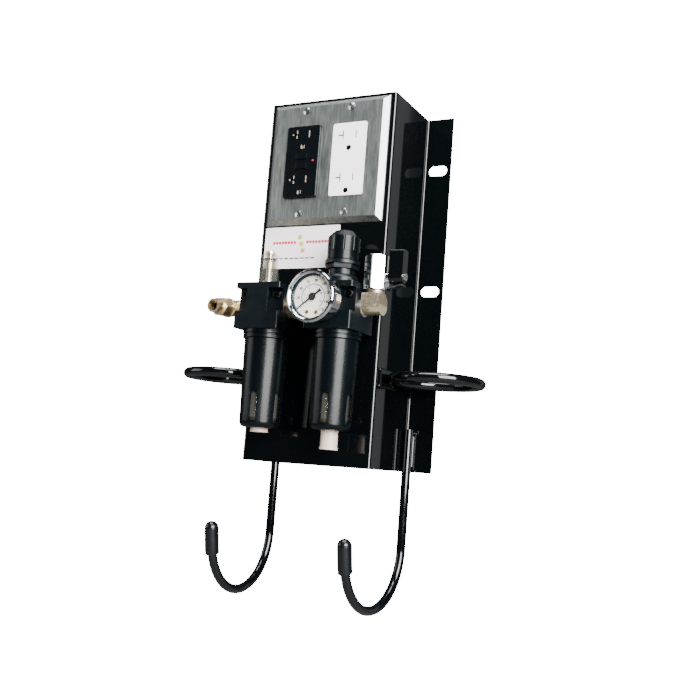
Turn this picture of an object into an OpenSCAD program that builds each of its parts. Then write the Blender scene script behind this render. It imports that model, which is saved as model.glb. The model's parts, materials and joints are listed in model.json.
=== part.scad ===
// Wall-mounted air and power station: a folded steel housing with two mains receptacles, an air
// filter regulator and a lubricator, a shut-off valve, two tool rings and two hose hooks.
// Origin: middle of the four wall slots, on the wall. +X right, -Y out of the wall, +Z up.

/* [Housing] */
// Width of the housing's front panel
housing_w = 127.5; // [125:0.5:129]
// Height of the housing
housing_h = 331; // [326:1:340]
// Distance from the wall to the front panel
housing_d = 76; // [74:1:80]
// Width of each wall flange
flange_w = 25.2; // [25:0.1:30]
// Thickness of the sheet steel
sheet = 2; // [2:0.5:2.5]
// Height of the lower wall slots above the bottom edge
slot_low_z = 166; // [160:1:170]
// Height of the upper wall slots above the bottom edge
slot_high_z = 281; // [275:1:290]
// Length of a wall slot
slot_length = 18.5; // [14:0.5:20]
// Width of a wall slot
slot_width = 10; // [7:1:10]

/* [Receptacles] */
// Width of the two-gang wall plate
plate_w = 117; // [114:1:118]
// Height of the wall plate
plate_h = 114.3; // [112:0.1:116]
// How far the wall plate stands off the panel
plate_d = 5.5; // [5:0.5:6]
// Height of the wall plate's centre
plate_z = 271; // [268:1:273]
// Distance between the centres of the two devices
gang_pitch = 46; // [46:0.1:46.4]

/* [Air units] */
// Position of the filter regulator's axis across the panel
regulator_x = 37; // [36:1:38]
// Position of the lubricator's axis across the panel
lubricator_x = -32; // [-32.5:0.5:-31]
// Distance from the front panel to the air units' axis
axis_off = 26; // [26:1:28]
// Width of an air unit's body
block_w = 44; // [42:0.5:44.5]
// Depth of an air unit's body
block_d = 44; // [43:1:44]
// Height of the port axis
port_z = 133; // [132.5:0.5:133.5]
// Travel of the regulator knob when it is pulled up to unlock
knob_lift = 3; // [2:0.5:3]

/* [Rings and hooks] */
// Diameter of the rod that the tool rings are bent from
ring_rod = 9; // [8:0.5:9.5]
// Radius of a tool ring to the middle of its rod
ring_r = 38; // [36:1:39]
// Height of the tool rings
ring_z = 78; // [70:1:85]
// Diameter of the rod that the hose hooks are bent from
hook_rod = 8; // [7:0.5:9]
// Bend radius of a hook to the middle of its rod
hook_r = 50; // [45:1:55]
// Depth of the right-hand hook's lowest point below the housing
right_drop = 122.2; // [112:0.1:130]
// Depth of the left-hand hook's lowest point below the housing
left_drop = 119.6; // [112:0.1:130]
// Toe-in of the right-hand hook in degrees
right_toe_in = 3; // [0:0.5:4]
// Toe-in of the left-hand hook in degrees
left_toe_in = 1.5; // [0:0.5:4]

/* [Hidden] */
$fn = 48;

eps = 0.01;
bottom_z = -(slot_low_z + slot_high_z) / 2;
half_w = housing_w / 2;
front_y = -housing_d;
air_y = front_y - axis_off;
slot_x = half_w + flange_w / 2;

// device heights measured from the middle of the wall plate
plate_slope = 4.6;
strap_screw = 41.65;
plate_screw = 48.4;
face_w = 33.3;
face_h = 66.7;
strap_t = 1.2;
body_back = 36;
gfci_blades = [26.2, -16.3];
duplex_blades = [22.3, -16.7];
button_w = 12;
button_h = 6;
button_gap = 0.25;
button_z = [-4.2, 5];

// heights of an air unit's body above the housing's bottom edge
block_z = 112;
shoulder_z = 127;
cap_z = 147;
block_top = 152;
recess_w = 11.5;
recess_d = 8;
screw_x = 16;
screw_z = 142.4;
port_r = 6.4;
bore_r = 14.6;

guard_r = 19.2;
guard_r_low = 17.7;
collar_r = 21.2;
filter_bottom = 28.7;
lubricator_bottom = 27.7;

valve_x = 70;
valve_z = 147;
valve_h = 29.4;
valve_af = 19;
stem_z = valve_z + 10.9;
elbow_out_x = -71.5;

gauge_y = front_y - 78.5;
gauge_r = 21.9;
gauge_z = port_z + 0.4;

ring_x = half_w + ring_r + ring_rod / 2 + 0.05;
ring_y = -sheet - ring_rod / 2 - ring_r - 1;
hook_x = 68.3;
hook_pad = 2.7;
hook_y = -sheet - hook_pad - hook_rod / 2;
hook_sweep = 170;
cap_r = 6.1;
cap_sweep = 9;
cap_straight = 14;

steel_black = [0.03, 0.03, 0.035];
satin_black = [0.06, 0.06, 0.065];
chrome = [0.85, 0.86, 0.88];
brass = [0.78, 0.62, 0.33];
stainless = [0.62, 0.62, 0.6];
cream = [0.93, 0.91, 0.84];
clear = [0.85, 0.9, 0.9, 0.4];

// ---- shared shapes ----

// rectangle centred on the origin with round corners
module round_rect(w, h, r) {
    square([w - 2 * r, h], center = true);
    square([w, h - 2 * r], center = true);
    for (x = [-1, 1], y = [-1, 1]) translate([x * (w / 2 - r), y * (h / 2 - r)]) circle(r);
}

// slot along X, end to end length l
module slot_2d(l, w) {
    square([l - w, w], center = true);
    for (x = [-1, 1]) translate([x * (l - w) / 2, 0]) circle(w / 2);
}

// turns a flat XY drawing to face -Y: drawing Y becomes height, and it reaches back by t
module facing(t) rotate([90, 0, 0]) translate([0, 0, -t]) linear_extrude(t) children();

// rod along Y from y to y + l
module rod_y(r, l) rotate([-90, 0, 0]) cylinder(r = r, h = l);

// rod along X from x to x + l
module rod_x(r, l) rotate([0, 90, 0]) cylinder(r = r, h = l);

module at_plate() translate([0, front_y, bottom_z + plate_z]) children();
module at_gang(side) at_plate() translate([side * gang_pitch / 2, 0, 0]) children();
module at_regulator() translate([regulator_x, air_y, bottom_z]) children();
module at_lubricator() translate([lubricator_x, air_y, bottom_z]) children();
module at_ports() translate([0, air_y, bottom_z + port_z]) children();
module at_gauge() translate([regulator_x, gauge_y, bottom_z + gauge_z]) children();
module at_valve() translate([valve_x, air_y, bottom_z]) children();
module both_units() {
    at_regulator() children();
    at_lubricator() children();
}

// rod of radius r bent to radius bend through sweep degrees, in the YZ plane, from +Y downwards
module bent_rod(bend, r, from, to) {
    rotate([0, 90, 0]) rotate([0, 0, 90 - to]) rotate_extrude(angle = to - from, $fn = 96)
        translate([bend, 0]) circle(r);
}

// ---- housing ----

module hat_profile() {
    bend = 2.5;
    fillet = 1.5;
    difference() {
        union() {
            translate([-half_w, front_y + bend]) square([housing_w, housing_d - bend]);
            translate([-half_w + bend, front_y]) square([housing_w - 2 * bend, bend + eps]);
            for (s = [-1, 1]) translate([s * (half_w - bend), front_y + bend]) circle(bend);
        }
        translate([-half_w + sheet, front_y + sheet])
            square([housing_w - 2 * sheet, housing_d]);
    }
    for (s = [-1, 1]) {
        translate([s * (half_w + flange_w / 2 - eps), -sheet / 2])
            square([flange_w + 2 * eps, sheet], center = true);
        difference() {
            translate([s * (half_w + fillet / 2 - eps), -sheet - fillet / 2 + eps])
                square(fillet, center = true);
            translate([s * (half_w + fillet), -sheet - fillet]) circle(fillet);
        }
    }
}

module housing() color(steel_black) difference() {
    translate([0, 0, bottom_z]) linear_extrude(housing_h) hat_profile();
    for (s = [-1, 1], z = [slot_low_z, slot_high_z]) translate([s * slot_x, eps, bottom_z + z])
        rotate([90, 0, 0]) linear_extrude(sheet + 2 * eps) slot_2d(slot_length, slot_width);
    at_plate() translate([-46.5, -1, -36]) cube([93, sheet + 2, 72]);
    for (g = [-1, 1], s = [-1, 1]) at_gang(g) translate([0, -1, s * strap_screw])
        rod_y(1.9, sheet + 2);
    both_units() for (s = [-1, 1]) translate([s * screw_x, axis_off - 1, screw_z])
        rod_y(2.1, sheet + 2);
}

module end_plates() color(steel_black) for (z = [0, housing_h - sheet])
    translate([-half_w + sheet + 0.05, front_y + sheet + 0.05, bottom_z + z])
        cube([housing_w - 2 * sheet - 0.1, housing_d - sheet - 0.05, sheet]);

module device_box() color([0.6, 0.61, 0.62]) at_plate() difference() {
    union() {
        translate([-50, sheet + 0.05, -38.5]) cube([100, 56, 77]);
        for (g = [-1, 1], s = [-1, 1])
            translate([g * gang_pitch / 2 - 9, sheet + 0.05, s * 42 - 5]) cube([18, 2, 10]);
    }
    translate([-48.4, sheet - 1, -36.9]) cube([96.8, 55.4, 73.8]);
    for (g = [-1, 1], s = [-1, 1])
        translate([g * gang_pitch / 2, sheet - 1, s * strap_screw]) rod_y(1.9, 5);
    translate([0, 50, 0]) rod_y(11.1, 10);
}

// ---- wall plate and devices ----

// block with four sloping sides: wide at the back, narrow at the front
module bevel_block(w, h, d, edge, slope) {
    intersection() {
        translate([0, 0, -h / 2]) linear_extrude(h)
            polygon([[-w / 2, 0], [w / 2, 0], [w / 2, -edge], [w / 2 - slope, -d],
                [slope - w / 2, -d], [-w / 2, -edge]]);
        translate([-w / 2, 0, 0]) rotate([90, 0, 90]) linear_extrude(w)
            polygon([[0, -h / 2], [0, h / 2], [-edge, h / 2], [-d, h / 2 - slope],
                [-d, slope - h / 2], [-edge, -h / 2]]);
    }
}

module wall_plate() color(stainless) at_plate() difference() {
    bevel_block(plate_w, plate_h, plate_d, 1, plate_slope);
    translate([0, 1.2, 0]) bevel_block(plate_w - 2, plate_h - 2, plate_d, 1, plate_slope);
    for (g = [-1, 1]) translate([g * gang_pitch / 2, -plate_d - 1, 0]) {
        facing(plate_d + 2) round_rect(face_w + 0.6, face_h + 0.6, 2.2);
        for (s = [-1, 1]) translate([0, 0, s * plate_screw]) {
            rod_y(2, plate_d + 2);
            translate([0, 0.99, 0]) rotate([-90, 0, 0]) cylinder(r1 = 3.6, r2 = 2, h = 1.2);
        }
    }
}

module plate_screws() color(stainless)
    for (g = [-1, 1], s = [-1, 1]) at_gang(g) translate([0, 0, s * plate_screw]) difference() {
        union() {
            translate([0, -plate_d, 0]) rotate([-90, 0, 0]) cylinder(r1 = 3.5, r2 = 1.8, h = 1.2);
            translate([0, -plate_d, 0]) rotate([90, 0, 0]) difference() {
                translate([0, 0, -7.4]) sphere(8.2, $fn = 64);
                translate([0, 0, -20]) cylinder(r = 12, h = 20);
            }
            translate([0, -plate_d + 1, 0]) rod_y(1.8, plate_d - 1.05);
        }
        rotate([0, g * s * 20 + 35, 0]) translate([-5, -plate_d - 2, -0.5]) cube([10, 1.9, 1]);
    }

// one receptacle face: plain blade slot on the right, T slot on the left, ground hole below
module receptacle_holes(slot) {
    ground_drop = 11.9;
    translate([6.35, 0]) square([slot, 7], center = true);
    translate([-6.35, 0]) {
        square([slot, 8.2], center = true);
        translate([-2.5, 0]) square([5, slot], center = true);
    }
    translate([0, -ground_drop]) intersection() {
        circle(2.6);
        translate([0, -0.4]) square([5.2, 4.8], center = true);
    }
}

module device_shape(proud) {
    translate([0, -strap_t - proud, 0]) facing(proud) round_rect(face_w, face_h, 2);
    translate([-15.8, -strap_t - eps, -33.5]) cube([31.6, strap_t + body_back, 67]);
}

module gfci_body() color([0.05, 0.05, 0.055]) at_gang(-1) difference() {
    device_shape(7);
    for (z = gfci_blades) translate([0, -strap_t - 8, z]) facing(17) receptacle_holes(2.2);
    for (z = button_z) translate([-button_w / 2, -strap_t - 8, z - button_h / 2])
        cube([button_w, 6.5, button_h]);
    translate([11.8, -strap_t - 8, 0.4]) rod_y(1.1, 4);
}

module gfci_button(z) color([0.08, 0.08, 0.085]) at_gang(-1)
    translate([button_gap - button_w / 2, -strap_t - 7.9, z - button_h / 2 + button_gap])
        cube([button_w - 2 * button_gap, 4.8, button_h - 2 * button_gap]);

module gfci_test_button() gfci_button(button_z[0]);
module gfci_reset_button() gfci_button(button_z[1]);

module gfci_indicator() color([0.75, 0.05, 0.05]) at_gang(-1)
    translate([11.8, -strap_t - 7.2, 0.4]) rod_y(1.05, 3);

module duplex_body() color([0.95, 0.95, 0.93]) at_gang(1) difference() {
    device_shape(5);
    for (z = duplex_blades) translate([0, -strap_t - 6, z]) facing(16) receptacle_holes(1.3);
}

module device_straps() color([0.66, 0.66, 0.62]) for (g = [-1, 1]) at_gang(g) difference() {
    translate([0, -strap_t, 0]) facing(strap_t) round_rect(35, 106, 4);
    translate([-16, -strap_t - 1, -33.7]) cube([32, strap_t + 2, 67.4]);
    for (s = [-1, 1]) translate([0, -strap_t - 1, s * strap_screw]) rod_y(1.9, 4);
    for (s = [-1, 1]) translate([0, -strap_t - 1, s * plate_screw]) rod_y(1.9, 4);
}

module device_screws() color(brass) for (g = [-1, 1], s = [-1, 1])
    at_gang(g) translate([0, -strap_t, s * strap_screw]) difference() {
        union() {
            translate([0, -1.8, 0]) rod_y(3.2, 1.8);
            rod_y(1.75, 12);
        }
        translate([-4, -2.5, -0.4]) cube([8, 1.5, 0.8]);
    }

module label() color([0.97, 0.94, 0.93])
    translate([-20.4, front_y - 0.3, bottom_z + 193.4]) facing(0.3) round_rect(77, 38.6, 1.2);

// ---- air units: shared body ----

// lower block, recessed middle with the ports, and cap; front corners are set back for screws
module unit_block() {
    linear_extrude(shoulder_z - block_z) round_rect(block_w, block_d, 1.6);
    translate([0, 0, shoulder_z - block_z]) linear_extrude(cap_z - shoulder_z) difference() {
        round_rect(block_w, block_d, 1.6);
        for (s = [-1, 1]) translate([s * (block_w / 2 - recess_w / 2 + 1), 1 - block_d / 2])
            square([recess_w + 2, 2 * recess_d - 2], center = true);
    }
    translate([0, 0, cap_z - block_z]) linear_extrude(block_top - cap_z)
        round_rect(block_w, block_d, 1.6);
}

module unit_bores() {
    for (s = [-1, 1]) {
        translate([s * screw_x, -block_d, screw_z]) rod_y(2.15, 2 * block_d);
        translate([s * (block_w / 2 + 1), 0, port_z]) rotate([0, -90 * s, 0])
            cylinder(r = port_r, h = 11);
    }
    translate([-block_w / 2, 0, port_z]) rod_x(3.5, block_w);
    translate([0, 0, block_z - 1]) cylinder(r = bore_r, h = 11);
}

module unit_body() difference() {
    translate([0, 0, block_z]) unit_block();
    unit_bores();
    children();
}

// guard around a bowl: collar at the top, tapering sides, five windows, open at the bottom
module bowl_guard(bottom) {
    windows = 5;
    window_w = 6.4;
    window_turn = -81;
    window_h = 24;
    corner = 5;
    corner_x = guard_r_low - corner;
    top = block_z - 0.05;
    difference() {
        rotate_extrude($fn = 72) polygon(concat(
            [[11, bottom], [corner_x, bottom]],
            [for (a = [15:15:75]) [corner_x + corner * sin(a), bottom + corner * (1 - cos(a))]],
            [[guard_r_low, bottom + corner], [guard_r, 103.6], [guard_r, 104.2],
                [collar_r - 0.4, 105], [collar_r - 0.4, 107.6], [collar_r - 1, 108],
                [collar_r - 1, 108.6], [collar_r, 109], [collar_r, top], [16.1, top],
                [16.1, bottom + 8], [11.6, bottom + 1.6], [11, bottom + 1.6]]));
        for (i = [0:windows - 1]) rotate([0, 0, window_turn + i * 360 / windows])
            translate([0, -window_w / 2, bottom + corner + 1]) {
                cube([30, window_w, window_h - 2]);
                translate([0, window_w / 2, window_h - 2]) rod_x(window_w / 2, 30);
            }
    }
}

// clear bowl inside the guard, with a bored neck at the bottom for the drain
module bowl(bottom, neck_r)
    rotate_extrude($fn = 72) polygon([[neck_r, bottom + 1.7], [10.8, bottom + 1.7],
        [11.2, bottom + 2.6], [15.6, bottom + 8.6], [15.6, block_z - 0.2],
        [14.3, block_z - 0.2], [14.3, block_z + 8.5], [12.3, block_z + 8.5],
        [12.3, block_z - 4], [13.6, block_z - 6], [13.6, bottom + 9.6], [10, bottom + 5.6],
        [neck_r, bottom + 5.6]]);

module mounting_screws() color(chrome) both_units() for (s = [-1, 1])
    translate([s * screw_x, recess_d - block_d / 2, screw_z]) difference() {
        union() {
            translate([0, -2.8, 0]) rotate([-90, 0, 0]) cylinder(r1 = 3.2, r2 = 3.9, h = 1);
            translate([0, -1.8, 0]) rod_y(3.9, 1.8);
            rod_y(2, axis_off + block_d / 2 - recess_d + sheet + 1.5);
        }
        for (a = [45, 135]) rotate([0, a, 0]) translate([-2.3, -3.5, -0.5]) cube([4.6, 2.2, 1]);
    }

module mounting_spacers() color(chrome) both_units() for (s = [-1, 1])
    translate([s * screw_x, block_d / 2, screw_z]) difference() {
        rod_y(4.5, axis_off - block_d / 2);
        translate([0, -1, 0]) rod_y(2.15, axis_off);
    }

// ---- filter regulator ----

module regulator_body() color(satin_black) at_regulator() unit_body() {
    translate([0, 0, block_top - 8]) cylinder(r = 12.2, h = 9);
    translate([0, 0, block_z + 5]) cylinder(r = 5, h = block_top - block_z - 10);
    translate([0, -block_d / 2 - 1, gauge_z]) rod_y(4.9, 12);
    translate([0, -block_d / 2 - 1, gauge_z]) rod_y(1.6, block_d / 2);
}

bonnet_top = 184.4;
module regulator_bonnet() color(satin_black) at_regulator() difference() {
    rotate_extrude() polygon([[9.6, block_top - 3], [12.1, block_top - 3], [12.1, block_top],
        [14.6, block_top], [14.6, block_top + 5.6], [13, block_top + 7.8], [11.2, block_top + 8.2],
        [11.2, bonnet_top - 11], [10, bonnet_top - 10.6], [10, bonnet_top], [4.1, bonnet_top],
        [4.1, bonnet_top - 2.5], [8.8, bonnet_top - 3], [8.8, block_top + 1],
        [9.6, block_top]]);
}

nut_low = 165.2;
nut_h = 4.4;
module bonnet_nut() color(satin_black) at_regulator() difference() {
    union() {
        translate([0, 0, nut_low]) rotate([0, 0, 27]) cylinder(r = 14.6, h = nut_h, $fn = 6);
        translate([0, 0, nut_low + nut_h - 0.4]) cylinder(r = 15.2, h = 2.9);
    }
    translate([0, 0, nut_low - 2]) cylinder(r = 11.25, h = 12);
}

knob_low = 173.1;
knob_top = 198.2;
knob_r = 13.9;
module regulator_knob() color(satin_black) at_regulator() {
    ribs = 10;
    groove = 6.4;
    chamfer = 5.4;
    difference() {
        union() {
            translate([0, 0, knob_low]) cylinder(r = knob_r, h = groove);
            translate([0, 0, knob_low + groove - 0.1]) cylinder(r = knob_r - 0.5, h = 0.8);
            translate([0, 0, knob_low + groove + 0.6])
                cylinder(r = knob_r, h = knob_top - chamfer - knob_low - groove - 0.6);
            translate([0, 0, knob_top - chamfer])
                cylinder(r1 = knob_r, r2 = knob_r - chamfer, h = chamfer);
        }
        translate([0, 0, knob_low - 1]) cylinder(r = 11.6, h = bonnet_top - knob_low + 1.6);
        translate([0, 0, bonnet_top]) cylinder(r = 4.05, h = 8 + knob_lift, $fn = 6);
        for (i = [0:ribs - 1]) rotate([0, 0, 27 + (i + 0.5) * 360 / ribs])
            translate([knob_r + 0.6, 0, knob_low + groove + 1.4]) cylinder(r = 1.2, h = 30);
    }
}

module adjusting_screw() color(chrome) at_regulator() {
    translate([0, 0, bonnet_top + 0.2]) cylinder(r = 3.9, h = 7.3, $fn = 6);
    translate([0, 0, block_top + 19]) cylinder(r = 4.03, h = bonnet_top - block_top - 18.7);
    translate([0, 0, block_top + 17.5]) cylinder(r = 8.2, h = 1.6);
}

// coil spring: a round wire swept along a helix as one mesh
module coil(r, wire, turns, h, sides = 8, steps = 14) {
    rings = turns * steps;
    points = [for (i = [0:rings], k = [0:sides - 1]) let (
            a = i * 360 / steps, b = k * 360 / sides, q = r + wire * cos(b))
        [q * cos(a), q * sin(a), i * h / rings + wire * sin(b)]];
    faces = concat(
        [[for (k = [0:sides - 1]) k]],
        [for (i = [0:rings - 1], k = [0:sides - 1])
            [i * sides + k, (i + 1) * sides + k, (i + 1) * sides + (k + 1) % sides,
                i * sides + (k + 1) % sides]],
        [[for (k = [sides - 1:-1:0]) rings * sides + k]]);
    polyhedron(points, faces, convexity = 8);
}

module regulating_spring() color([0.5, 0.5, 0.52]) at_regulator()
    translate([0, 0, block_top + 2.2]) coil(6.6, 1, 5, 14.2);

module diaphragm() color([0.12, 0.11, 0.1]) at_regulator()
    translate([0, 0, block_top - 5]) {
        cylinder(r = 12, h = 1.9);
        cylinder(r = 8.4, h = 6);
    }

module poppet_valve() color(brass) at_regulator() {
    translate([0, 0, port_z - 9]) cylinder(r = 4.6, h = 3);
    translate([0, 0, port_z - 9]) cylinder(r = 1.4, h = block_top - port_z + 3.9);
}

// ---- pressure gauge, facing -Y ----

module gauge_stem() color(brass) at_gauge() {
    back = front_y - axis_off - block_d / 2 - gauge_y;
    translate([0, 18, 0]) rotate([-90, 0, 0]) cylinder(r = 6.6, h = back - 18.3, $fn = 6);
    translate([0, back - 0.35, 0]) rod_y(4.8, 9);
    translate([0, 13, 0]) rod_y(3.6, 5.05);
    translate([-3.2, 9.5, -15.4]) cube([6.4, 3.6, 19.4]);
}

module gauge_case() color(chrome) at_gauge() difference() {
    union() {
        translate([0, 5, 0]) rod_y(19.4, 13);
        translate([0, 3.3, 0]) rod_y(20, 2.3);
    }
    translate([0, 1, 0]) rod_y(18.6, 15.6);
    translate([0, 15, 0]) rod_y(3.7, 4);
}

module gauge_bezel() color(chrome) at_gauge() rotate([-90, 0, 0]) rotate_extrude($fn = 96)
    polygon([[18.2, 0.9], [18.8, 0.2], [19.6, -0.4], [20.6, -0.2], [21.2, 0.5], [gauge_r, 1.6],
        [gauge_r, 5.4], [21, 6.2], [20.1, 6.4], [20.1, 2], [18.6, 1.9], [18.2, 1.5]]);

module gauge_dial() color([0.96, 0.94, 0.88]) at_gauge() difference() {
    translate([0, 6, 0]) rod_y(18.5, 0.6);
    translate([0, 5, 0]) rod_y(1.3, 3);
}

// the needle rests at zero, lower left, and turns clockwise as seen from the front
needle_zero = 217;
module gauge_needle() color([0.05, 0.05, 0.05]) at_gauge() {
    rotate([0, -needle_zero, 0]) {
        translate([0, 4.6, 0]) rotate([90, 0, 0]) linear_extrude(0.5) {
            polygon([[-3, -0.9], [16.8, -0.3], [16.8, 0.3], [-3, 0.9]]);
            polygon([[-9, -1.7], [-6.8, -0.8], [-2, -0.8], [-2, 0.8], [-6.8, 0.8], [-9, 1.7]]);
            circle(3.2);
        }
        translate([0, 3.6, 0]) rod_y(1.9, 0.55);
        translate([0, 4.5, 0]) rod_y(1.2, 4.4);
    }
}

module gauge_lens() color(clear) at_gauge() translate([0, 2, 0]) rod_y(19.9, 1.2);

module dial_screws() color(brass) at_gauge() for (s = [-1, 1])
    translate([s * 4.2, 5.1, -12.6]) difference() {
        rod_y(1.5, 0.85);
        translate([-2, -1, -0.2]) cube([4, 1.3, 0.4]);
    }

module bourdon_tube() color(brass) at_gauge()
    translate([0, 11.5, 0]) rotate([90, 0, 0]) rotate([0, 0, -75.5]) difference() {
        rotate_extrude(angle = 270, $fn = 72) translate([13.4, 0]) circle(1.6);
        rotate_extrude(angle = 270, $fn = 72) translate([13.4, 0]) circle(0.9);
    }

// ---- bowls and their contents ----

module filter_bowl_guard() color(satin_black) at_regulator() bowl_guard(filter_bottom);
module filter_bowl() color(clear) at_regulator() bowl(filter_bottom, 5.6);
module lubricator_bowl_guard() color(satin_black) at_lubricator() bowl_guard(lubricator_bottom);
module lubricator_bowl() color(clear) at_lubricator() bowl(lubricator_bottom, 5.6);

module filter_element() color(cream) at_regulator() difference() {
    translate([0, 0, 76]) cylinder(r = 9.2, h = 39.5);
    translate([0, 0, 75]) cylinder(r = 5.6, h = 42);
}

module filter_baffle() color([0.15, 0.15, 0.16]) at_regulator() {
    translate([0, 0, 73.4]) cylinder(r = 11.4, h = 2.5);
    translate([0, 0, 75.8]) cylinder(r = 1.9, h = 44);
    for (a = [0:90:270]) rotate([0, 0, a]) translate([3, -0.6, 62]) cube([8, 1.2, 11.5]);
    translate([0, 0, 62]) cylinder(r = 3.4, h = 11.5);
}

// twist drain: threaded shank in the bowl's neck and a ribbed cap with a lip below
module drain(cap_top, shank_top, cap_low) {
    ribs = 16;
    cap_r = 7.3;
    difference() {
        union() {
            translate([0, 0, cap_low + 2]) cylinder(r = cap_r, h = cap_top - cap_low - 4.6);
            translate([0, 0, cap_low]) cylinder(r = cap_r + 0.5, h = 2.05);
            translate([0, 0, cap_top - 2.7])
                cylinder(r1 = cap_r, r2 = cap_r + 1.2, h = 2.4);
            translate([0, 0, cap_top - 1]) cylinder(r = 5.55, h = shank_top - cap_top + 1);
        }
        translate([0, 0, cap_low - 1]) cylinder(r = 3, h = 6);
        translate([0, 0, cap_low]) cylinder(r = 1.5, h = 60);
        for (i = [0:ribs - 1]) rotate([0, 0, i * 360 / ribs])
            translate([cap_r + 1.6, 0, cap_top - 5]) cylinder(r = 0.7, h = 4.9);
    }
}

module filter_drain() color(cream) at_regulator() drain(filter_bottom + 1.6, 44, 13);
module lubricator_drain() color(cream) at_lubricator() drain(lubricator_bottom + 1.6, 41, 24.3);

// ---- lubricator ----

dome_y = -6;
module lubricator_body() color(satin_black) at_lubricator() unit_body() {
    translate([0, dome_y, block_top - 3]) cylinder(r = 7.2, h = 4);
    translate([0, dome_y, port_z]) cylinder(r = 1.5, h = 20);
    translate([0, 10, block_top - 10]) cylinder(r = 5.1, h = 11);
    translate([0, 0, block_z + 9]) cylinder(r = 2.6, h = 8);
}

module sight_dome() color(clear) at_lubricator() translate([0, dome_y, 0])
    rotate_extrude($fn = 72) polygon([[5.4, block_top - 2.8], [7.1, block_top - 2.8],
        [7.1, block_top + 0.05], [8.9, block_top + 0.05], [8.9, block_top + 9],
        [7.4, block_top + 19], [7.4, block_top + 26.7], [6.6, block_top + 27.5],
        [3.1, block_top + 27.5], [3.1, block_top + 24.5], [5.6, block_top + 23.5],
        [5.6, block_top + 18], [7, block_top + 8.6], [7, block_top + 1.6], [5.4, block_top + 1]]);

module drip_tube() color(brass) at_lubricator() translate([0, dome_y, 0]) {
    translate([0, 0, block_top - 2.8]) difference() {
        union() {
            cylinder(r = 5.2, h = 6);
            cylinder(r = 2.6, h = 18);
            translate([0, 0, 17.2]) cylinder(r = 4.6, h = 5.6);
        }
        translate([0, 0, -1]) cylinder(r = 1, h = 40);
    }
}

module oil_feed_screw() color(brass) at_lubricator() translate([0, dome_y, block_top])
    difference() {
        union() {
            translate([0, 0, 20.8]) cylinder(r = 3.03, h = 7);
            translate([0, 0, 27.7]) cylinder(r = 4.2, h = 2.3);
        }
        translate([-5, -0.5, 29]) cube([10, 1, 2]);
    }

module fill_plug() color(satin_black) at_lubricator() translate([0, 10, 0]) difference() {
    union() {
        translate([0, 0, block_top + 0.05]) cylinder(r = 6.6, h = 3.2);
        translate([0, 0, block_top - 8]) cylinder(r = 5, h = 8.1);
    }
    translate([0, 0, block_top + 1.2]) cylinder(r = 2.9, h = 3, $fn = 6);
}

module siphon_tube() color(clear) at_lubricator() difference() {
    translate([0, 0, 46]) cylinder(r = 2.5, h = block_z + 16.8 - 46);
    translate([0, 0, 45]) cylinder(r = 1.4, h = 100);
}

// ---- fittings ----

module joining_nipple() color(brass) at_ports() {
    left = lubricator_x + block_w / 2;
    right = regulator_x - block_w / 2;
    difference() {
        union() {
            translate([left - 8, 0, 0]) rod_x(6.3, right - left + 16);
            translate([left + 0.05, 0, 0]) rod_x(9, 4);
            translate([left + 4, 0, 0]) rotate([0, 90, 0])
                cylinder(r = 9.8, h = right - left - 8, $fn = 6);
            translate([right - 4.05, 0, 0]) rod_x(9, 4);
        }
        translate([left - 9, 0, 0]) rod_x(3.6, right - left + 18);
    }
}

// elbow: branch along X into the lubricator, barrel out of the wall, dipping a little
barrel_dip = 5;
barrel_end = 29;
module outlet_elbow() color(brass) {
    port_x = lubricator_x - block_w / 2;
    at_ports() difference() {
        union() {
            translate([elbow_out_x, 0, 0]) rod_x(6.3, port_x - elbow_out_x + 8);
            translate([elbow_out_x, 0, 0]) rotate([0, 0, 135]) sphere(7.6);
            translate([elbow_out_x, 0, 0]) rod_x(7.2, 9.5);
            translate([elbow_out_x, 0, 0]) rotate([90 + barrel_dip, 0, 0]) {
                cylinder(r = 7.2, h = 5);
                translate([0, 0, 4.9]) cylinder(r = 8.7, h = 2);
                translate([0, 0, 6.8]) cylinder(r = 8.7, h = 13.2, $fn = 6);
                translate([0, 0, 19.9]) cylinder(r = 6.15, h = barrel_end - 19.9);
            }
        }
        translate([elbow_out_x, 0, 0]) rod_x(3.6, 60);
        translate([elbow_out_x, 0, 0]) rotate([0, 0, 135]) sphere(4.4);
        translate([elbow_out_x, 0, 0]) rotate([90 + barrel_dip, 0, 0]) {
            cylinder(r = 3.6, h = 60);
            translate([0, 0, 17]) cylinder(r = 4.25, h = 30);
        }
    }
}

module inlet_nipple() color(chrome) at_ports() {
    port_x = regulator_x + block_w / 2;
    difference() {
        union() {
            translate([port_x - 8, 0, 0]) rod_x(6.3, 14);
            translate([port_x + 0.05, 0, 0]) rod_x(8.2, 1.8);
        }
        translate([port_x - 9, 0, 0]) rod_x(3.6, 30);
    }
}

// forged elbow: round below, square above, with a flat end face
elbow_top = 144.2;
elbow_r = 8.2;
elbow_end = 77.6;
module inlet_elbow() color(brass) translate([0, air_y, bottom_z]) {
    start = regulator_x + block_w / 2 + 1.9;
    axis_z = port_z + 1.2;
    difference() {
        union() {
            translate([start, 0, axis_z]) rod_x(elbow_r, elbow_end - start);
            translate([start, -elbow_r, 0]) rotate([90, 0, 90]) linear_extrude(elbow_end - start)
                polygon([[0, axis_z], [0, elbow_top - 1], [1, elbow_top],
                    [2 * elbow_r - 4, elbow_top], [2 * elbow_r, elbow_top - 5],
                    [2 * elbow_r, axis_z]]);
            translate([valve_x, 0, elbow_top - 1]) cylinder(r = 6.6, h = valve_z + 5.8 - elbow_top);
            translate([valve_x, 0, elbow_top - 0.05])
                cylinder(r = 7.5, h = valve_z - elbow_top);
        }
        translate([start - 1, 0, port_z]) rod_x(6.35, 6);
        translate([start - 1, 0, port_z]) rod_x(4, valve_x - start + 1);
        translate([valve_x, 0, port_z]) cylinder(r = 4, h = 60);
    }
}

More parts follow.
